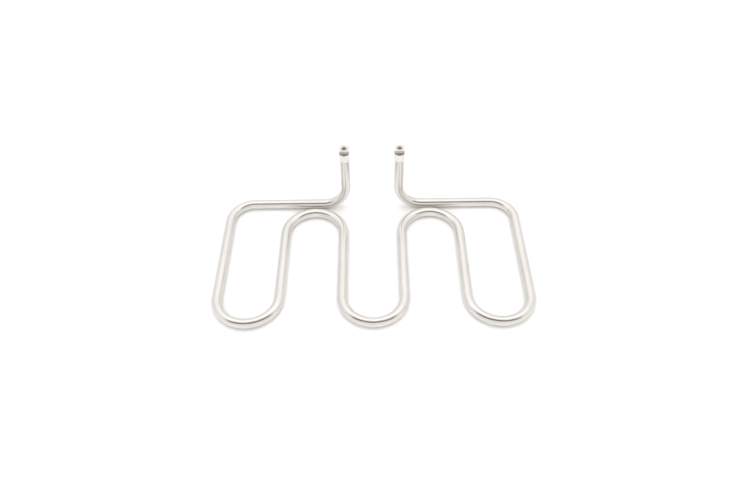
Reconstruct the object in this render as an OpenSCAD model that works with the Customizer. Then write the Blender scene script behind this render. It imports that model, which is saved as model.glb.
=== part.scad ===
// Tubular heating element for a waffle maker: one bent steel sheath with its coil, powder,
// pins and end pieces. The flat grid rests on z = 0, and the two ends stand up at the back.

/* [Sheath] */
// Outside diameter of the sheath
tube_d = 7; // [6.3:0.05:8]
// Wall thickness of the sheath
tube_wall = 0.65; // [0.5:0.05:0.7]

/* [Grid] */
// Centreline radius of the round loops at the front and back
loop_r = 21.4; // [12:0.1:40]
// Straight length of each of the four inner legs
leg_l = 58.5; // [30:0.1:120]
// Clear space between the round back loops and the back runs behind them
back_gap = 2.9; // [1:0.1:12]
// Centreline radius of the two back corners
corner_r = 17.3; // [12:0.1:20]
// Straight length of the sheath along the back, on each side
back_l = 52; // [45:0.1:60]

/* [Ends] */
// Centreline radius of the bend that turns each end upwards
rise_r = 17.9; // [12:0.1:20]
// Straight length of each upright end
post_l = 26.9; // [16:0.1:60]
// Length of the seal in each mouth of the sheath
seal_l = 5; // [2:0.5:8]
// Length of the cold pin inside the back run, before its tail
cold_l = 12; // [6:0.5:20]

/* [Coil] */
// Wire diameter of the resistance coil
wire_d = 0.5; // [0.35:0.05:0.6]
// Outside diameter of the resistance coil
coil_d = 3.1; // [2.8:0.05:3.4]
// Advance of the coil for each turn
coil_pitch = 6; // [5:0.5:10]
// Length of the pin's tail that the coil is wound on
tail_l = 8; // [4:0.5:12]

/* [Terminals] */
// Diameter of the cold pin
pin_d = 2.5; // [2:0.1:2.7]
// Outside diameter of the threaded stud
stud_d = 4; // [3:0.1:4.2]
// Diameter of the ceramic bead
bead_d = 7.4; // [6.8:0.1:9]
// Height of the ceramic bead above the sheath
bead_h = 6.2; // [5:0.1:10]
// Length of the bead's spigot inside the sheath
spigot_l = 2.5; // [1:0.1:5]
// Depth that the stud reaches into the bead
stud_in = 4; // [2:0.1:4.2]
// Width across the flats of the hexagon nut
hex_w = 7; // [6:0.1:8]
// Height of the hexagon nut
hex_h = 2.2; // [2:0.1:5]
// Side of the square clamp nut
clamp_w = 7; // [6:0.1:9]
// Height of the square clamp nut
clamp_h = 2.2; // [1.8:0.1:5]
// Depth of the stud's end below the top of the clamp nut
stud_sink = 1.2; // [0:0.1:1.5]
// Turn of the hexagon nut on the left end
turn_left = -5; // [-30:1:30]
// Turn of the hexagon nut on the right end
turn_right = -12; // [-30:1:30]

/* [Hidden] */
$fn = 72;

// Clearance on the radius between pieces that fit inside each other
fit = 0.02;
// Edge break on the nuts' faces and the bead
edge = 0.35;

tube_r = tube_d / 2;
bore_r = tube_r - tube_wall;
fill_r = bore_r - fit;
pin_r = pin_d / 2;
stud_r = stud_d / 2;
coil_r = (coil_d - wire_d) / 2;
// Chords per turn of the coil, and how far their middles come inside its radius
coil_sides = 6;
chord_in = coil_r * (1 - cos(180 / coil_sides));
core_r = coil_r - chord_in - wire_d / 2 - fit;
channel_r = coil_d / 2 + fit;
hex_r = hex_w / 2 / cos(30);

// Straight length of the two outer sides
side_l = leg_l + loop_r + tube_d + back_gap - corner_r;
// The back run is hot, then bare tail, then cold pin, and the post is fill, then seal, then spigot
hot_l = back_l - tail_l - cold_l;
filled_l = post_l - seal_l - spigot_l;
post_x = 5 * loop_r - corner_r - back_l - rise_r;
// The front loops' centres lie at this Y, so that the whole part is centred on the origin
rear_r = max(tube_r, bead_d / 2, hex_r);
shift_y = (tube_r + loop_r - side_l - corner_r - rear_r) / 2;
post_y = shift_y + side_l + corner_r;

rim_z = tube_r + rise_r + post_l;
bead_z = rim_z + bead_h;
hex_z = bead_z + hex_h;
clamp_z = hex_z + clamp_h;
stud_z = bead_z - stud_in;

// Steps of one half of the grid, from the middle of the front loop to the end of the back corner
grid = [["turn", 90, loop_r], ["straight", leg_l], ["turn", -180, loop_r], ["straight", leg_l],
        ["turn", 180, loop_r], ["straight", side_l], ["turn", 90, corner_r]];
sheath_route = concat(grid, [["straight", back_l], ["rise", 90, rise_r], ["straight", post_l]]);
hot_route = concat(grid, [["straight", hot_l]]);
cold_route = [["straight", cold_l], ["rise", 90, rise_r], ["straight", filled_l]];
pin_route = [["straight", cold_l], ["rise", 90, rise_r],
             ["straight", stud_z - tube_r - rise_r]];

// Length of one step
function step_l(s) = s[0] == "straight" ? s[1] : abs(s[1]) * PI / 180 * s[2];

// Place and heading after part of a flat step that starts at p with heading h
function moved(s, l, p, h) =
    s[0] == "straight" ? [p + l * [cos(h), sin(h)], h]
    : let (way = sign(s[1]), turned = h + way * l / s[2] * 180 / PI)
      [p + way * s[2] * [sin(turned) - sin(h), cos(h) - cos(turned)], turned];

// Place and heading at distance l along a flat route
function along(route, l, p, h = 0, i = 0) =
    l <= step_l(route[i]) || i == len(route) - 1 ? moved(route[i], l, p, h)
    : let (next = moved(route[i], step_l(route[i]), p, h))
      along(route, l - step_l(route[i]), next[0], next[1], i + 1);

// Place and heading on the whole hot stretch, with negative distances on the left half
function on_coil(l) =
    let (at = along(hot_tail_route, abs(l), [0, -loop_r]))
    l < 0 ? [[-at[0].x, at[0].y], -at[1]] : at;

// The coil also covers the tails of both pins
hot_tail_route = concat(hot_route, [["straight", tail_l]]);
half_coil = coil_reach(hot_tail_route);
function coil_reach(route, i = 0) = i == len(route) ? 0 : step_l(route[i]) + coil_reach(route, i + 1);

// Turns a flat section into one step of the route, which starts along +X
module step_shape(s) {
    if (s[0] == "straight") rotate([90, 0, 90]) linear_extrude(s[1]) children();
    else
        rotate([s[0] == "rise" ? 90 : 0, 0, 0])
            translate([0, sign(s[1]) * s[2], 0])
                rotate(s[1] > 0 ? -90 : 90 + s[1])
                    rotate_extrude(angle = abs(s[1])) translate([s[2], 0]) children();
}

// Moves to the end of one step, with +X along the new heading
module step_end(s) {
    if (s[0] == "straight") translate([s[1], 0, 0]) children();
    else
        rotate([s[0] == "rise" ? 90 : 0, 0, 0])
            translate([0, sign(s[1]) * s[2], 0]) rotate(s[1]) translate([0, -sign(s[1]) * s[2], 0])
                rotate([s[0] == "rise" ? -90 : 0, 0, 0]) children();
}

// Sweeps a flat section along a route, each step from where the last one ended
module sweep(route, i = 0) {
    if (i < len(route)) {
        step_shape(route[i]) children();
        step_end(route[i]) sweep(route, i + 1) children();
    }
}

// Puts a half that starts in the middle of the front loop in its place, and its mirror image
module both_halves() {
    translate([0, shift_y, tube_r])
        for (side = [0, 1]) mirror([side, 0, 0]) translate([0, -loop_r, 0]) children();
}

// Starts at the end of the grid's back corner, on one side, heading inwards
module from_corner(side, past)
    translate([0, shift_y, tube_r]) mirror([side, 0, 0])
        translate([5 * loop_r - corner_r - past, side_l + corner_r, 0]) rotate(180) children();

// Centre of one end's upright, on the surface that the grid lies on
module at_post(side) translate([side * post_x, post_y, 0]) children();

module ring(outer, inner) difference() { circle(outer); circle(inner); }

module sheath_tube() color([0.80, 0.79, 0.76])
    both_halves() sweep(sheath_route) ring(tube_r, bore_r);

module magnesia_fill() color([0.90, 0.89, 0.84]) {
    both_halves() sweep(hot_tail_route) ring(fill_r, channel_r);
    both_halves() sweep(hot_route) circle(core_r);
    for (side = [0, 1]) from_corner(side, hot_l + tail_l)
        sweep(cold_route) ring(fill_r, pin_r + fit);
}

// The wire is a helix round the sheath's own centreline, with a four-sided section
module resistance_coil() color([0.46, 0.43, 0.40]) {
    rings = 2 * floor(half_coil / coil_pitch * coil_sides);
    reach = rings / 2 / coil_sides * coil_pitch;
    slope = atan(coil_pitch / (2 * PI * coil_r));
    points = [for (n = [0 : rings])
        let (l = n / coil_sides * coil_pitch - reach, at = on_coil(l), spin = n * 360 / coil_sides,
             ahead = [cos(at[1]), sin(at[1]), 0], left = [-sin(at[1]), cos(at[1]), 0],
             out = cos(spin) * left + [0, 0, sin(spin)],
             round_way = -sin(spin) * left + [0, 0, cos(spin)],
             across = cos(slope) * ahead - sin(slope) * round_way,
             middle = [at[0].x, at[0].y + shift_y, tube_r] + coil_r * out)
        for (corner = [0 : 3])
            middle + wire_d / 2 * (cos(90 * corner) * out + sin(90 * corner) * across)];
    sides = [for (n = [0 : rings - 1], c = [0 : 3], half = [0, 1])
        let (here = 4 * n + c, next = 4 * n + (c + 1) % 4)
        half == 0 ? [here, next, next + 4] : [here, next + 4, here + 4]];
    last = 4 * rings;
    ends = [[3, 2, 1], [3, 1, 0], [last, last + 1, last + 2], [last, last + 2, last + 3]];
    polyhedron(points, concat(sides, ends));
}

module cold_pin(side) color([0.66, 0.66, 0.65]) {
    from_corner(side, hot_l + tail_l) sweep(pin_route) circle(pin_r);
    from_corner(side, hot_l + fit) sweep([["straight", tail_l - fit]]) circle(core_r);
}

module end_seal(side) color([0.70, 0.40, 0.32]) at_post(side)
    translate([0, 0, rim_z - spigot_l - seal_l + fit]) linear_extrude(seal_l - 2 * fit)
        ring(fill_r, pin_r + fit);

// The bead stands on the rim, with a spigot in the mouth and a deeper seat for the stud
module ceramic_bead(side) color([0.94, 0.94, 0.90]) at_post(side) rotate_extrude()
    polygon([[pin_r + fit, rim_z - spigot_l], [fill_r, rim_z - spigot_l], [fill_r, rim_z],
             [bead_d / 2 - edge / 2, rim_z], [bead_d / 2, rim_z + edge / 2],
             [bead_d / 2, bead_z - edge], [bead_d / 2 - edge, bead_z],
             [stud_r + fit, bead_z], [stud_r + fit, stud_z], [pin_r + fit, stud_z]]);

module terminal_stud(side) color([0.72, 0.70, 0.66]) at_post(side) rotate_extrude()
    polygon([[0, stud_z], [stud_r, stud_z], [stud_r, clamp_z - stud_sink - edge],
             [stud_r - edge, clamp_z - stud_sink], [0, clamp_z - stud_sink]]);

// Revolved outline that a nut is cut to: its faces' outer edges and its bore's mouths
module nut_turning(wide_r, flat_r, low, high) {
    drop = (wide_r - flat_r) * tan(30);
    rotate_extrude()
        polygon([[stud_r + fit, low + edge], [stud_r + edge, low], [flat_r, low],
                 [wide_r, low + drop], [wide_r, high - drop], [flat_r, high],
                 [stud_r + edge, high], [stud_r + fit, high - edge]]);
}

module hex_nut(side, turn) color([0.70, 0.66, 0.60]) at_post(side)
    intersection() {
        nut_turning(hex_r + fit, hex_w / 2, bead_z, hex_z);
        translate([0, 0, bead_z]) rotate(30 + turn) cylinder(hex_h, r = hex_r, $fn = 6);
    }

module clamp_nut(side) color([0.80, 0.78, 0.74]) at_post(side)
    intersection() {
        nut_turning(clamp_w / sqrt(2) + fit, clamp_w * 0.6, hex_z, clamp_z);
        translate([-clamp_w / 2, -clamp_w / 2, hex_z]) cube([clamp_w, clamp_w, clamp_h]);
    }

sheath_tube();
magnesia_fill();
resistance_coil();
cold_pin(1);  // cold_pin_left
cold_pin(0);  // cold_pin_right
end_seal(-1);  // end_seal_left
end_seal(1);  // end_seal_right
ceramic_bead(-1);  // ceramic_bead_left
ceramic_bead(1);  // ceramic_bead_right
terminal_stud(-1);  // terminal_stud_left
terminal_stud(1);  // terminal_stud_right
hex_nut(-1, turn_left);  // hex_nut_left
hex_nut(1, turn_right);  // hex_nut_right
clamp_nut(-1);  // clamp_nut_left
clamp_nut(1);  // clamp_nut_right
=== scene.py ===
# %% [markdown]
# A heating element from a waffle maker, photographed on white paper. It is one steel tube, bent into a
# flat grid, with both ends turned up and closed by a ceramic bead and two nuts. The CAD model is loaded
# first, because every piece keeps the place that it has there. This script adds the finish: a smoothly swept
# tube, real screw threads, and materials that are worked out on the surface itself, with no pictures.

# %% Load the frame
import math

import bmesh
import bpy
from mathutils import Euler, Matrix, Vector


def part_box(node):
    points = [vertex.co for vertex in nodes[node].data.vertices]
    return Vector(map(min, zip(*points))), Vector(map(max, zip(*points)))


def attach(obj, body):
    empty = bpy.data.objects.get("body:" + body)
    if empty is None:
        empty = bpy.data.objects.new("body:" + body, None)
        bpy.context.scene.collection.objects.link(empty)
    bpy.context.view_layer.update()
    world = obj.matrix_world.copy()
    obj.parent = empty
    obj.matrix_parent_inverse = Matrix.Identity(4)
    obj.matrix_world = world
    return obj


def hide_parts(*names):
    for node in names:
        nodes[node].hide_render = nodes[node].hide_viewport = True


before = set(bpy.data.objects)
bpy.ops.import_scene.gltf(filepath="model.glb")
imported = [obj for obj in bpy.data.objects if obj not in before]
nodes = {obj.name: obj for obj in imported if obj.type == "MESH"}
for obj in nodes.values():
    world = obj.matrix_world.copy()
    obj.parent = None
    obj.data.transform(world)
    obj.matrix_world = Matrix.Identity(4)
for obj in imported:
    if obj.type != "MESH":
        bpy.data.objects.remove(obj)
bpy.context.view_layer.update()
MM = 0.001
print("CAD nodes:", len(nodes))

# %% [markdown]
# Sizes come from the frame wherever it can give them. The sheath's box gives its ends and its sides, and the
# beads give the axes of the two uprights. The tube's own radius and wall, the bend radii and the length of
# the legs can't be read from a box, so they are written here as real sizes.

# %% Sizes
tube_r = 3.5 * MM
tube_wall = 0.65 * MM
loop_r = 21.4 * MM
corner_r = 17.3 * MM
rise_r = 17.9 * MM
sheath_low, sheath_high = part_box("sheath_tube")
bead_low, bead_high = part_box("ceramic_bead_right")
post_x = (bead_low.x + bead_high.x) / 2
post_y = (bead_low.y + bead_high.y) / 2
rim_z = sheath_high.z
side_x = sheath_high.x - tube_r
front_y = sheath_low.y + tube_r + loop_r
back_y = post_y - corner_r
leg_l = 58.5 * MM
print("tube ends at", round(rim_z / MM, 2), "mm, posts at x", round(post_x / MM, 2), "mm")

# %% [markdown]
# The camera comes first, because everything else is judged through it. Its place was worked out from the
# edges of the tube in the photograph: about 306 mm in front of the part and 366 mm up, looking down by 49
# degrees, with a lens as long as 32 mm on a full frame. A turn of one degree about the line of sight is the
# photographer's own.

# %% Camera
camera_place = (-0.3 * MM, -306.4 * MM, 366.25 * MM)
look_down, look_left, lean = math.radians(48.77), math.radians(0.46), math.radians(-0.97)


def place_camera():
    data = bpy.data.cameras.new("camera")
    data.sensor_width = 36
    data.lens = 32.3
    data.clip_start = 0.01
    data.clip_end = 50
    camera = bpy.data.objects.new("camera", data)
    turn = Euler((math.pi / 2 - look_down, 0, look_left)).to_matrix() @ Matrix.Rotation(lean, 3, "Z")
    camera.matrix_world = Matrix.Translation(camera_place) @ turn.to_4x4()
    bpy.context.scene.collection.objects.link(camera)
    bpy.context.scene.camera = camera
    return camera


camera = place_camera()
print("camera at", [round(v, 3) for v in camera.location])

# %% [markdown]
# A small helper turns a finished bmesh into a piece. The piece stays at the origin, and rides on the one
# body that this part has. Smooth shading with a limit keeps the thread's and nuts' true edges sharp.

# %% Pieces
def finish_piece(name, bm, smooth_below=35):
    mesh = bpy.data.meshes.new(name)
    bm.to_mesh(mesh)
    bm.free()
    mesh.shade_smooth()
    mesh.set_sharp_from_angle(angle=math.radians(smooth_below))
    piece = bpy.data.objects.new(name, mesh)
    bpy.context.scene.collection.objects.link(piece)
    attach(piece, "root")
    print(name, "has", len(mesh.polygons), "faces")
    return piece


def everything(bm):
    return bm.verts[:] + bm.edges[:] + bm.faces[:]


def close_and_face_out(bm):
    bmesh.ops.remove_doubles(bm, verts=bm.verts[:], dist=1e-7)
    bmesh.ops.recalc_face_normals(bm, faces=bm.faces[:])


# %% [markdown]
# The sheath is one tube, so it is made as a bender makes it: a round section is pushed straight with an
# extrude and turned round a centre with a spin, step by step, from the middle of the front loop to the
# right-hand mouth. A curve object with a bevel would be quicker, but its rings crowd on the inside of the
# bends. Only one half is made. The other is its mirror image, welded at the middle. The last ring is a very
# short one. Smooth shading leans towards the cut end between the last two rings, and a long step there would
# show as a false taper under the bead.

# %% Swept half of the sheath
section_sides = 48
degrees_per_ring = 3
ring_step = 6 * MM
last_step = 0.1 * MM


def edges_of(verts):
    inside = set(verts)
    return [e for e in set(e for v in verts for e in v.link_edges) if set(e.verts) <= inside]


def push_straight(bm, ring, way, length):
    steps = max(1, round(length / ring_step))
    for _ in range(steps):
        out = bmesh.ops.extrude_edge_only(bm, edges=edges_of(ring))
        ring = [g for g in out["geom"] if isinstance(g, bmesh.types.BMVert)]
        bmesh.ops.translate(bm, verts=ring, vec=way * (length / steps))
    return ring


def turn_round(bm, ring, centre, axis, degrees):
    out = bmesh.ops.spin(bm, geom=ring + edges_of(ring), cent=centre, axis=axis, dvec=(0, 0, 0),
                         angle=math.radians(degrees), steps=round(abs(degrees) / degrees_per_ring),
                         use_merge=False, use_duplicate=False)
    return [g for g in out["geom_last"] if isinstance(g, bmesh.types.BMVert)]


def half_sheath(bm):
    up, ahead, left = Vector((0, 0, 1)), Vector((0, 1, 0)), Vector((-1, 0, 0))
    start = Matrix.Translation((0, front_y - loop_r, tube_r)) @ Matrix.Rotation(math.pi / 2, 4, "Y")
    first = bmesh.ops.create_circle(bm, cap_ends=False, segments=section_sides, radius=tube_r,
                                    matrix=start)["verts"]
    rear_y = front_y + leg_l
    ring = turn_round(bm, first, (0, front_y, tube_r), up, 90)
    ring = push_straight(bm, ring, ahead, leg_l)
    ring = turn_round(bm, ring, (2 * loop_r, rear_y, tube_r), up, -180)
    ring = push_straight(bm, ring, -ahead, leg_l)
    ring = turn_round(bm, ring, (4 * loop_r, front_y, tube_r), up, 180)
    ring = push_straight(bm, ring, ahead, back_y - front_y)
    ring = turn_round(bm, ring, (side_x - corner_r, back_y, tube_r), up, 90)
    ring = push_straight(bm, ring, left, side_x - corner_r - post_x - rise_r)
    ring = turn_round(bm, ring, (post_x + rise_r, post_y, tube_r + rise_r), ahead, 90)
    ring = push_straight(bm, ring, up, rim_z - tube_r - rise_r - last_step)
    push_straight(bm, ring, up, last_step)
    return first


# %% [markdown]
# Drawn tube carries very fine lines along its length, and they follow every bend. For that, each point
# remembers where it lay before the tube was bent: its place round the section, and its distance along the
# tube. The walk below goes from ring to ring and writes that place to an attribute, which the steel's
# material reads.

# %% Where each point lay before bending
def rings_in_order(first):
    ring, seen = list(first), set(first)
    while ring:
        yield ring
        after = []
        for v in ring:
            after += [e.other_vert(v) for e in v.link_edges if e.other_vert(v) not in seen]
        seen.update(after)
        ring = after


def remember_straight(first, place):
    gone, middle = 0.0, None
    for ring in rings_in_order(first):
        centre = sum((v.co for v in ring), Vector()) / len(ring)
        gone += (centre - middle).length if middle is not None else 0.0
        middle = centre
        for side, v in enumerate(ring):
            turn = 2 * math.pi * side / len(ring)
            v[place] = (tube_r * math.cos(turn), tube_r * math.sin(turn), gone)
    return gone


# %% [markdown]
# Now the half is mirrored into the whole tube. The remembered distances count backwards on the mirrored
# half, so the fine lines run on through the middle. The wall is real thickness, added inwards.

# %% Sheath
def make_sheath():
    bm = bmesh.new()
    place = bm.verts.layers.float_vector.new("straight")
    first = half_sheath(bm)
    length = remember_straight(first, place)
    bmesh.ops.mirror(bm, geom=everything(bm), axis="X", merge_dist=1e-6)
    for v in bm.verts:
        if v.co.x < -1e-6:
            v[place].z = -v[place].z
    bmesh.ops.recalc_face_normals(bm, faces=bm.faces[:])
    piece = finish_piece("bent_sheath", bm, smooth_below=60)
    wall = piece.modifiers.new("wall", "SOLIDIFY")
    wall.thickness = tube_wall
    wall.offset = -1
    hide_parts("sheath_tube")
    print("the tube was cut to about", round(2 * length / MM), "mm")
    return piece


sheath = make_sheath()

# %% [markdown]
# The two studs carry an M4 thread, with 0.7 mm from turn to turn. A screw is a profile that turns and climbs
# at once, which is what spin does when it is given a climb for each step. The profile is a column of
# teeth, so that each turn lands on the next one and the doubles can be merged. The ends are then cut flat
# with bisect, filled, and turned down a little at the rim, as a die's lead-in leaves them.

# %% Screw threads
pitch = 0.7 * MM
thread_steps = 48
stud_r = 2.0 * MM
tooth_h = 0.54 * pitch
tooth_foot, crest_start, crest_end = 0.25 * pitch, 0.56 * pitch, 0.69 * pitch
rim_break = 0.35 * MM


def draw_line(bm, points):
    line = [bmesh.ops.create_vert(bm, co=points[0])["vert"][0]]
    for point in points[1:]:
        out = bmesh.ops.extrude_vert_indiv(bm, verts=[line[-1]])
        out["verts"][0].co = point
        line.append(out["verts"][0])
    return line


def cut_flat(bm, height, side):
    bmesh.ops.bisect_plane(bm, geom=everything(bm), dist=1e-8,
                           plane_co=(0, 0, height), plane_no=(0, 0, side), clear_outer=True)
    rim = [e for e in bm.edges if e.is_boundary and all(abs(v.co.z - height) < 1e-7 for v in e.verts)]
    bmesh.ops.holes_fill(bm, edges=rim, sides=0)


def threaded_rod(bm, crest_r, low, high, lead_in):
    root_r = crest_r - tooth_h
    turns = math.ceil((high - low) / pitch) + 3
    teeth = []
    for turn in range(turns):
        foot = low + (turn - 2) * pitch
        teeth += [(root_r, 0, foot), (root_r, 0, foot + tooth_foot),
                  (crest_r, 0, foot + crest_start), (crest_r, 0, foot + crest_end)]
    line = draw_line(bm, teeth + [(root_r, 0, low + (turns - 2) * pitch)])
    bmesh.ops.spin(bm, geom=line + edges_of(line), cent=(0, 0, 0), axis=(0, 0, 1),
                   dvec=(0, 0, pitch / thread_steps), angle=2 * math.pi, steps=thread_steps,
                   use_merge=False, use_duplicate=False)
    bmesh.ops.remove_doubles(bm, verts=bm.verts[:], dist=1e-6)
    cut_flat(bm, low, -1)
    cut_flat(bm, high, 1)
    bmesh.ops.bisect_plane(bm, geom=everything(bm), dist=1e-8,
                           plane_co=(0, 0, high - lead_in), plane_no=(0, 0, 1))
    for v in bm.verts:
        across = Vector((v.co.x, v.co.y))
        allowed = crest_r - max(0, lead_in - (high - v.co.z))
        if across.length > allowed:
            across *= allowed / across.length
            v.co.x, v.co.y = across
    bmesh.ops.dissolve_degenerate(bm, dist=1e-7, edges=bm.edges[:])
    bmesh.ops.triangulate(bm, faces=[f for f in bm.faces if len(f.verts) > 4])
    bmesh.ops.recalc_face_normals(bm, faces=bm.faces[:])


def put_at_post(bm, side):
    bmesh.ops.translate(bm, verts=bm.verts[:], vec=(side * post_x, post_y, 0))


def make_stud(name, side):
    low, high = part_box(name)
    bm = bmesh.new()
    threaded_rod(bm, stud_r, low.z, high.z, rim_break)
    put_at_post(bm, side)
    piece = finish_piece("threaded_" + name, bm)
    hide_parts(name)
    return piece


studs = [make_stud("terminal_stud_left", -1), make_stud("terminal_stud_right", 1)]

# %% [markdown]
# A nut is pressed from bar and then tapped. Its faces are cut back at the corners by a shallow cone, so each
# flat side ends in a curved arc. A box with a bevel never shows that arc. Here the nut starts as a turned
# washer: its outline is drawn and spun round the axis. Then the rim's points are pulled out to the flats,
# and let down onto the cone. The thread is cut with the same rod as the stud's, slightly larger, as a tap
# does it. The hole is a little wider than the tap's core, so the two never share a surface, which a boolean
# can't cut. The hexagons are turned by a few degrees, as they came to rest when they were tightened.

# %% Nuts
points_round = 72
nut_flats = 7.0 * MM
hex_face_r, clamp_face_r = nut_flats / 2, 0.6 * nut_flats
cone_slope = math.tan(math.radians(30))
tap_room = 0.04 * MM
bore_r = stud_r - tooth_h + 0.09 * MM
mouth_r = stud_r + rim_break
mouth_depth = 0.45 * MM
washer_face_r, washer_r = 3.0 * MM, 4.0 * MM
corner_round = 0.12 * MM
least_corner = math.radians(40)
nut_smooth_below = 25


def reach_of_flats(across, corners, first_corner):
    part = 2 * math.pi / corners
    angle = (math.atan2(across.y, across.x) - first_corner) % part
    return nut_flats / 2 / math.cos(angle - part / 2)


def pull_to_flats(bm, corners, face_r, first_corner, low, high):
    for v in bm.verts:
        across = Vector((v.co.x, v.co.y))
        if across.length < (mouth_r + washer_face_r) / 2:
            continue
        reach = reach_of_flats(across, corners, first_corner)
        on_face = across.length < (washer_face_r + washer_r) / 2
        drop = 0 if on_face else max(0, reach - face_r) * cone_slope
        v.co.x, v.co.y = across.normalized() * (min(reach, face_r) if on_face else reach)
        v.co.z = high - drop if v.co.z > (low + high) / 2 else low + drop


def nut_blank(bm, corners, face_r, first_corner, low, high):
    outline = [(bore_r, low + mouth_depth), (bore_r, high - mouth_depth),
               (mouth_r, high), (washer_face_r, high), (washer_r, high),
               (washer_r, low), (washer_face_r, low), (mouth_r, low)]
    line = draw_line(bm, [(r, 0, z) for r, z in outline])
    bmesh.ops.contextual_create(bm, geom=[line[-1], line[0]])
    bmesh.ops.rotate(bm, verts=bm.verts[:], cent=(0, 0, 0), matrix=Matrix.Rotation(first_corner, 3, "Z"))
    bmesh.ops.spin(bm, geom=bm.verts[:] + bm.edges[:], cent=(0, 0, 0), axis=(0, 0, 1), dvec=(0, 0, 0),
                   angle=2 * math.pi, steps=points_round, use_merge=True, use_duplicate=False)
    pull_to_flats(bm, corners, face_r, first_corner, low, high)
    close_and_face_out(bm)
    tall = [e for e in bm.edges if len(e.link_faces) == 2 and e.calc_face_angle() > least_corner
            and abs(e.verts[0].co.z - e.verts[1].co.z) > (high - low) / 2]
    bmesh.ops.bevel(bm, geom=tall, offset=corner_round, offset_type="OFFSET", segments=3, profile=0.5,
                    affect="EDGES", material=-1)
    bmesh.ops.recalc_face_normals(bm, faces=bm.faces[:])
    print("blank of", round(bm.calc_volume() / MM ** 3, 1), "cubic mm")


def tap_thread(blank, low, high, side):
    bm = bmesh.new()
    stud_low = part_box("terminal_stud_right")[0].z
    first = stud_low + math.floor((low - stud_low) / pitch - 1) * pitch
    threaded_rod(bm, stud_r + tap_room, first, high + pitch, 0)
    put_at_post(bm, side)
    mesh = bpy.data.meshes.new("tap")
    bm.to_mesh(mesh)
    bm.free()
    tap = bpy.data.objects.new("tap", mesh)
    bpy.context.scene.collection.objects.link(tap)
    cut = blank.modifiers.new("tap", "BOOLEAN")
    cut.operation = "DIFFERENCE"
    cut.solver = "EXACT"
    cut.object = tap
    shape = blank.evaluated_get(bpy.context.evaluated_depsgraph_get())
    cut_mesh = bpy.data.meshes.new_from_object(shape)
    blank.modifiers.clear()
    blank.data = cut_mesh
    bpy.data.objects.remove(tap)
    cut_mesh.shade_smooth()
    cut_mesh.set_sharp_from_angle(angle=math.radians(nut_smooth_below))
    print(blank.name, "has", len(cut_mesh.polygons), "faces with its thread cut")


def make_nut(name, side, corners, face_r, first_corner):
    low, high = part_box(name)
    bm = bmesh.new()
    nut_blank(bm, corners, face_r, math.radians(first_corner), low.z, high.z)
    put_at_post(bm, side)
    piece = finish_piece("tapped_" + name, bm, nut_smooth_below)
    tap_thread(piece, low.z, high.z, side)
    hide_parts(name)
    return piece


hex_nuts = [make_nut("hex_nut_left", -1, 6, hex_face_r, first_corner=-95),
            make_nut("hex_nut_right", 1, 6, hex_face_r, first_corner=-102)]
clamp_nuts = [make_nut("clamp_nut_left", -1, 4, clamp_face_r, first_corner=45),
              make_nut("clamp_nut_right", 1, 4, clamp_face_r, first_corner=45)]

# %% [markdown]
# The beads are steatite, a dense white ceramic that is pressed and fired without a glaze. Pressing rounds
# each outer edge softly. The bead is a turned form, so its outline is drawn as a line, the line's corners
# are rounded with a vertex bevel, and a full spin turns it into a solid. A spigot stands in the mouth of the
# sheath, and the stud stands in the wider seat at the top.

# %% Ceramic beads
spigot_r = tube_r - tube_wall - 0.02 * MM
pin_hole_r, seat_r = 1.27 * MM, 2.02 * MM
top_round, edge_round = 0.55 * MM, 0.15 * MM


def round_corner(bm, corner, radius, steps):
    bmesh.ops.bevel(bm, geom=[corner], offset=radius, offset_type="OFFSET", segments=steps, profile=0.5,
                    affect="VERTICES", material=-1)


def make_bead(name, side):
    low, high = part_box(name)
    outer_r = (high.x - low.x) / 2
    seat_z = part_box("terminal_stud_" + name.rsplit("_", 1)[1])[0].z
    bm = bmesh.new()
    outline = [(pin_hole_r, low.z), (spigot_r, low.z), (spigot_r, rim_z), (outer_r, rim_z),
               (outer_r, high.z), (seat_r, high.z), (seat_r, seat_z), (pin_hole_r, seat_z)]
    line = draw_line(bm, [(r, 0, z) for r, z in outline])
    bmesh.ops.contextual_create(bm, geom=[line[-1], line[0]])
    round_corner(bm, line[4], top_round, 6)
    round_corner(bm, line[3], edge_round, 3)
    round_corner(bm, line[5], edge_round, 3)
    bmesh.ops.spin(bm, geom=bm.verts[:] + bm.edges[:], cent=(0, 0, 0), axis=(0, 0, 1), dvec=(0, 0, 0),
                   angle=2 * math.pi, steps=points_round, use_merge=True, use_duplicate=False)
    close_and_face_out(bm)
    put_at_post(bm, side)
    piece = finish_piece("pressed_" + name, bm)
    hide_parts(name)
    return piece


beads = [make_bead("ceramic_bead_left", -1), make_bead("ceramic_bead_right", 1)]

# %% [markdown]
# A material is a chain of nodes, and the same few links come back in each one: a noise, a range, a blend of
# two colours, a bump. They are wrapped in short functions first. All patterns are worked out from the
# surface's own place, so they stay where they are in every view.

# %% Links of a material
def start_material(name):
    mat = bpy.data.materials.new(name)
    mat.use_nodes = True
    return mat, mat.node_tree, mat.node_tree.nodes["Principled BSDF"]


def own_place(tree):
    return tree.nodes.new("ShaderNodeTexCoord").outputs["Object"]


def noise(tree, place, scale, detail, stretch=(1, 1, 1)):
    mapping = tree.nodes.new("ShaderNodeMapping")
    mapping.inputs["Scale"].default_value = stretch
    tex = tree.nodes.new("ShaderNodeTexNoise")
    tex.inputs["Scale"].default_value = scale
    tex.inputs["Detail"].default_value = detail
    tree.links.new(place, mapping.inputs["Vector"])
    tree.links.new(mapping.outputs[0], tex.inputs["Vector"])
    return tex.outputs["Fac"]


def between(tree, value, low, high, start=0.3, end=0.7):
    reach = tree.nodes.new("ShaderNodeMapRange")
    reach.inputs["From Min"].default_value = start
    reach.inputs["From Max"].default_value = end
    reach.inputs["To Min"].default_value = low
    reach.inputs["To Max"].default_value = high
    tree.links.new(value, reach.inputs["Value"])
    return reach.outputs[0]


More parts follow.
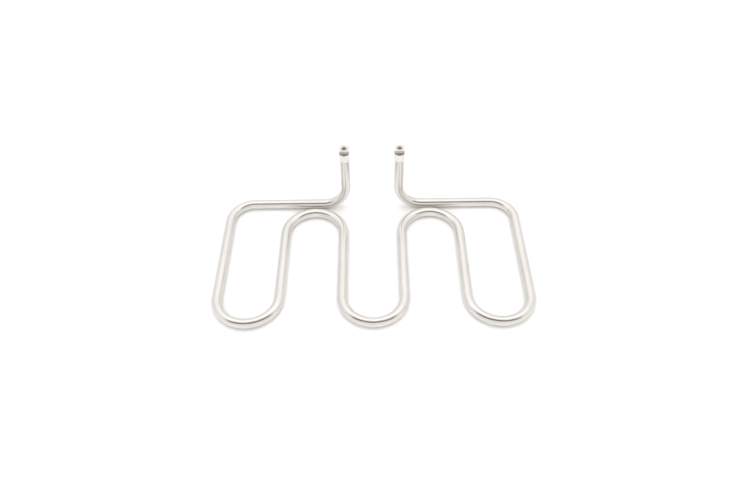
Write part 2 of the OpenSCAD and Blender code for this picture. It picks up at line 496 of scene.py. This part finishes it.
def blend_colours(tree, share, first, second):
    mix = tree.nodes.new("ShaderNodeMix")
    mix.data_type = "RGBA"
    for socket, colour in (("A", first), ("B", second)):
        if isinstance(colour, tuple):
            mix.inputs[socket].default_value = (*colour, 1)
        else:
            tree.links.new(colour, mix.inputs[socket])
    tree.links.new(share, mix.inputs["Factor"])
    return mix.outputs["Result"]


def raise_surface(tree, shader, height, distance):
    bump = tree.nodes.new("ShaderNodeBump")
    bump.inputs["Distance"].default_value = distance
    bump.inputs["Strength"].default_value = 1.0
    tree.links.new(height, bump.inputs["Height"])
    tree.links.new(bump.outputs[0], shader.inputs["Normal"])


def dress(piece, mat):
    piece.data.materials.clear()
    piece.data.materials.append(mat)
    print(piece.name, "wears", mat.name)


# %% [markdown]
# The sheath is bright annealed stainless steel. A metal has no colour but that of its reflections, and this
# one turns them a warm grey. Drawing left fine lines along it, which spread highlights across the tube, and
# annealing left faint clouds of slightly different tone. Both are noise on the place that each point had
# before bending, stretched along the tube for the lines. A satin steel doesn't turn fully white where it is
# seen at a flat angle, so its edge tint is set below white.

# %% Stainless steel
def stainless():
    mat, tree, shader = start_material("drawn_stainless")
    attribute = tree.nodes.new("ShaderNodeAttribute")
    attribute.attribute_name = "straight"
    place = attribute.outputs["Vector"]
    lines = noise(tree, place, scale=4000, detail=3, stretch=(1, 1, 0.006))
    clouds = noise(tree, place, scale=70, detail=4, stretch=(1, 1, 0.5))
    tone = blend_colours(tree, between(tree, clouds, 0, 1), (0.81, 0.785, 0.75), (0.76, 0.735, 0.70))
    tree.links.new(tone, shader.inputs["Base Color"])
    shader.inputs["Metallic"].default_value = 1.0
    shader.inputs["Specular Tint"].default_value = (0.80, 0.79, 0.78, 1)
    tree.links.new(between(tree, lines, 0.17, 0.27), shader.inputs["Roughness"])
    raise_surface(tree, shader, lines, distance=0.003 * MM)
    return mat


dress(sheath, stainless())

# %% [markdown]
# The two kinds of nut differ in the photograph. The hexagon nuts are given a dark brown grey metal. The
# square nuts are light on top and darker at the sides, and that darkness is painted shade: their outer side
# faces get a darker, browner copy of the plating. Each finish has soft patches, which change both its tone
# and how sharply it mirrors, and a fine grain. The studs' steel is the roughest, and it is dark as painted
# shade, for the shadowed hole in the square nut where a stud's end shows.

# %% Plated and rolled steel
def patchy_metal(name, light, dull, smooth, rough):
    mat, tree, shader = start_material(name)
    place = own_place(tree)
    patches = noise(tree, place, scale=420, detail=4)
    grain = noise(tree, place, scale=6000, detail=2)
    tone = blend_colours(tree, between(tree, patches, 0, 1), light, dull)
    tree.links.new(tone, shader.inputs["Base Color"])
    shader.inputs["Metallic"].default_value = 1.0
    tree.links.new(between(tree, patches, smooth, rough), shader.inputs["Roughness"])
    raise_surface(tree, shader, grain, distance=0.004 * MM)
    return mat


def is_outer_side(face):
    from_axis = math.hypot(abs(face.center.x) - post_x, face.center.y - post_y)
    return abs(face.normal.z) < 0.5 and from_axis > washer_face_r


hex_plating = patchy_metal("brown_grey_plating", (0.36, 0.31, 0.285), (0.24, 0.20, 0.185), 0.30, 0.42)
clamp_plating = patchy_metal("bright_plating", (0.86, 0.84, 0.82), (0.77, 0.75, 0.73), 0.24, 0.36)
# Painted shade: a darker, browner copy of the plating for the square nuts' outer side faces, which the light
# reaches less.
painted_shade_side_steel = patchy_metal("painted_shade_side_steel", (0.62, 0.55, 0.53), (0.48, 0.42, 0.40), 0.34, 0.46)
# Painted shade: the studs' steel is made dark for the shadowed hole in the square nut where a stud's end
# shows.
stud_shade_steel = patchy_metal("stud_steel_painted_shade", (0.42, 0.39, 0.36), (0.26, 0.24, 0.22), 0.38, 0.52)
for piece in hex_nuts:
    dress(piece, hex_plating)
for piece in clamp_nuts:
    dress(piece, clamp_plating)
    # Painted shade on the square nuts' outer side faces.
    piece.data.materials.append(painted_shade_side_steel)
    for face in filter(is_outer_side, piece.data.polygons):
        face.material_index = 1
for piece in studs:
    dress(piece, stud_shade_steel)

# %% [markdown]
# Steatite is nearly white with a cream tint. Its pressed and fired powder leaves a matt surface with
# fine pits and a few grey grains. Light also enters it a little way, which a small subsurface share gives.

# %% Steatite
def steatite():
    mat, tree, shader = start_material("unglazed_steatite")
    place = own_place(tree)
    pits = noise(tree, place, scale=3500, detail=4)
    grains = tree.nodes.new("ShaderNodeTexVoronoi")
    grains.inputs["Scale"].default_value = 1400
    tree.links.new(place, grains.inputs["Vector"])
    tone = blend_colours(tree, between(tree, pits, 0, 1), (0.95, 0.945, 0.885), (0.90, 0.895, 0.835))
    speck = between(tree, grains.outputs["Distance"], 1, 0, start=0.10, end=0.22)
    tree.links.new(blend_colours(tree, speck, tone, (0.76, 0.74, 0.68)), shader.inputs["Base Color"])
    shader.inputs["Roughness"].default_value = 0.55
    shader.inputs["Subsurface Weight"].default_value = 0.15
    shader.inputs["Subsurface Radius"].default_value = (1.0, 0.85, 0.7)
    shader.inputs["Subsurface Scale"].default_value = 0.4 * MM
    raise_surface(tree, shader, pits, distance=0.02 * MM)
    return mat


bead_ceramic = steatite()
for piece in beads:
    dress(piece, bead_ceramic)

# %% [markdown]
# Four kinds of piece are sealed inside the sheath. Nothing shows them here, but each still gets its own
# finish on its CAD mesh: packed powder with a fine grain, a wire with a mottled oxide skin, pins of drawn
# steel in the same patchy metal as the nuts, and a cast silicone seal.

# %% Sealed pieces
def powder():
    mat, tree, shader = start_material("packed_magnesia")
    grain = noise(tree, own_place(tree), scale=5000, detail=4)
    tone = blend_colours(tree, between(tree, grain, 0, 1), (0.84, 0.82, 0.76), (0.70, 0.68, 0.62))
    tree.links.new(tone, shader.inputs["Base Color"])
    shader.inputs["Roughness"].default_value = 0.95
    raise_surface(tree, shader, grain, distance=0.05 * MM)
    return mat


def oxidised_wire():
    mat, tree, shader = start_material("oxidised_coil_wire")
    skin = noise(tree, own_place(tree), scale=900, detail=5)
    tone = blend_colours(tree, between(tree, skin, 0, 1), (0.30, 0.28, 0.27), (0.16, 0.15, 0.15))
    tree.links.new(tone, shader.inputs["Base Color"])
    shader.inputs["Metallic"].default_value = 1.0
    tree.links.new(between(tree, skin, 0.45, 0.70), shader.inputs["Roughness"])
    raise_surface(tree, shader, skin, distance=0.01 * MM)
    return mat


def cast_silicone():
    mat, tree, shader = start_material("cast_silicone")
    swirl = noise(tree, own_place(tree), scale=600, detail=4)
    tone = blend_colours(tree, between(tree, swirl, 0, 1), (0.50, 0.16, 0.10), (0.40, 0.12, 0.07))
    tree.links.new(tone, shader.inputs["Base Color"])
    shader.inputs["Roughness"].default_value = 0.5
    shader.inputs["Subsurface Weight"].default_value = 0.1
    shader.inputs["Subsurface Scale"].default_value = 0.5 * MM
    raise_surface(tree, shader, swirl, distance=0.01 * MM)
    return mat


dress(nodes["magnesia_fill"], powder())
dress(nodes["resistance_coil"], oxidised_wire())
pin_finish = patchy_metal("drawn_pin_steel", (0.66, 0.65, 0.63), (0.56, 0.55, 0.53), 0.28, 0.40)
seal_finish = cast_silicone()
for side in ("left", "right"):
    dress(nodes[f"cold_pin_{side}"], pin_finish)
    dress(nodes[f"end_seal_{side}"], seal_finish)

# %% [markdown]
# The part lies on white paper. The photograph was exposed until the paper went white, so the camera, and
# the metal that mirrors the paper, see its colour raised, and more so further out, where the lamps reach
# less. It is a colour and not a glow, so the part's shadow on it keeps its depth. Rays that light the part
# meet the paper's own colour.

# %% Paper
paper_white = (0.90, 0.90, 0.905)
close_by, far_out = 220 * MM, 450 * MM
white_to_metal, white_to_camera, white_far_out = 0.98, 1.04, 1.4


def larger(tree, first, second):
    either = tree.nodes.new("ShaderNodeMath")
    either.operation = "MAXIMUM"
    tree.links.new(first, either.inputs[0])
    tree.links.new(second, either.inputs[1])
    return either.outputs[0]


def kinds_of_ray(tree):
    path = tree.nodes.new("ShaderNodeLightPath")
    mirrored = larger(tree, path.outputs["Is Glossy Ray"], path.outputs["Is Transmission Ray"])
    return path.outputs["Is Camera Ray"], mirrored


def white_paper():
    mat = bpy.data.materials.new("white_paper")
    mat.use_nodes = True
    tree = mat.node_tree
    tree.nodes.clear()
    out = tree.nodes.new("ShaderNodeOutputMaterial")
    paper = tree.nodes.new("ShaderNodeBsdfDiffuse")
    away = tree.nodes.new("ShaderNodeVectorMath")
    away.operation = "LENGTH"
    tree.links.new(own_place(tree), away.inputs[0])
    distance = away.outputs["Value"]
    in_metal = between(tree, distance, white_to_metal, white_far_out, start=close_by, end=far_out)
    exposed = between(tree, distance, white_to_camera, white_far_out, start=close_by, end=far_out)
    seen, mirrored = kinds_of_ray(tree)
    tone = blend_colours(tree, mirrored, paper_white, in_metal)
    tree.links.new(blend_colours(tree, seen, tone, exposed), paper.inputs["Color"])
    tree.links.new(paper.outputs[0], out.inputs["Surface"])
    return mat


def lay_paper():
    bm = bmesh.new()
    bmesh.ops.create_grid(bm, x_segments=1, y_segments=1, size=3)
    mesh = bpy.data.meshes.new("paper")
    bm.to_mesh(mesh)
    bm.free()
    paper = bpy.data.objects.new("paper", mesh)
    bpy.context.scene.collection.objects.link(paper)
    dress(paper, white_paper())


lay_paper()

# %% [markdown]
# The room around the part is a white tent. Bright metal shows its room, so the room is what shades the tube:
# a large lamp behind and a strip above draw the light along its top, walls that are a little greyer near the
# ground draw the faint lines along its sides, and a dim gap between the cloths, just above the camera, draws
# the brown line on every stretch that runs from left to right. The key lamp and the fill lamp only give
# light: the metal doesn't mirror them, because the tube in the photograph shows no lamp.

# %% Room
plain_white = (1.0, 1.0, 1.0)
wall_foot = (0.90, 0.90, 0.90)
gap_brown = (0.21, 0.185, 0.145)
room_light = 0.80


def background(tree, colour, strength):
    node = tree.nodes.new("ShaderNodeBackground")
    node.inputs["Strength"].default_value = strength
    if isinstance(colour, tuple):
        node.inputs["Color"].default_value = (*colour, 1)
    else:
        tree.links.new(colour, node.inputs["Color"])
    return node.outputs[0]


def instead(tree, share, first, second):
    pick = tree.nodes.new("ShaderNodeMixShader")
    tree.links.new(share, pick.inputs["Fac"])
    tree.links.new(first, pick.inputs[1])
    tree.links.new(second, pick.inputs[2])
    return pick.outputs[0]


def white_room():
    world = bpy.data.worlds.new("room")
    bpy.context.scene.world = world
    world.use_nodes = True
    tree = world.node_tree
    tree.nodes.remove(tree.nodes["Background"])
    split = tree.nodes.new("ShaderNodeSeparateXYZ")
    tree.links.new(tree.nodes.new("ShaderNodeTexCoord").outputs["Generated"], split.inputs[0])
    height = between(tree, split.outputs["Z"], 0, 1, start=0.0, end=0.5)
    walls = background(tree, blend_colours(tree, height, wall_foot, plain_white), 1.0)
    seen, mirrored = kinds_of_ray(tree)
    room = instead(tree, mirrored, background(tree, plain_white, room_light), walls)
    room = instead(tree, seen, room, background(tree, plain_white, 1.0))
    tree.links.new(room, tree.nodes["World Output"].inputs["Surface"])


def soft_lamp(name, place, size, watts, mirrored=True):
    data = bpy.data.lights.new(name, "AREA")
    data.shape = "RECTANGLE"
    data.size, data.size_y = size
    data.energy = watts
    lamp = bpy.data.objects.new(name, data)
    lamp.location = place
    lamp.rotation_euler = (-Vector(place)).to_track_quat("-Z", "Y").to_euler()
    lamp.visible_glossy = mirrored
    bpy.context.scene.collection.objects.link(lamp)


def dim_gap(width, height, place):
    bm = bmesh.new()
    bmesh.ops.create_grid(bm, x_segments=1, y_segments=1, size=0.5)
    bmesh.ops.scale(bm, vec=(width, height, 1), verts=bm.verts[:])
    mesh = bpy.data.meshes.new("tent_gap")
    bm.to_mesh(mesh)
    bm.free()
    gap = bpy.data.objects.new("tent_gap", mesh)
    gap.location = place
    gap.rotation_euler = Vector(place).to_track_quat("Z", "Y").to_euler()
    bpy.context.scene.collection.objects.link(gap)
    mat, tree, shader = start_material("dim_room_beyond")
    shader.inputs["Base Color"].default_value = (*gap_brown, 1)
    shader.inputs["Roughness"].default_value = 1.0
    dress(gap, mat)
    gap.visible_camera = False
    gap.visible_diffuse = False
    gap.visible_shadow = False


white_room()
soft_lamp("lamp_behind", place=(0, 0.55, 0.95), size=(1.3, 0.8), watts=0.65)
soft_lamp("strip_above", place=(0, 0.09, 0.53), size=(0.9, 0.22), watts=0.16)
soft_lamp("key_above", place=(0, 0, 1.2), size=(0.9, 0.9), watts=3.1, mirrored=False)
soft_lamp("fill_in_front", place=(0, -1.0, 0.6), size=(1.2, 0.6), watts=2.1, mirrored=False)
dim_gap(width=1.34, height=0.33, place=(0, -0.315, 0.53))

# %% [markdown]
# The view transform is Standard, so that a colour comes out as it was written.

# %% Finish
bpy.context.scene.view_settings.view_transform = "Standard"
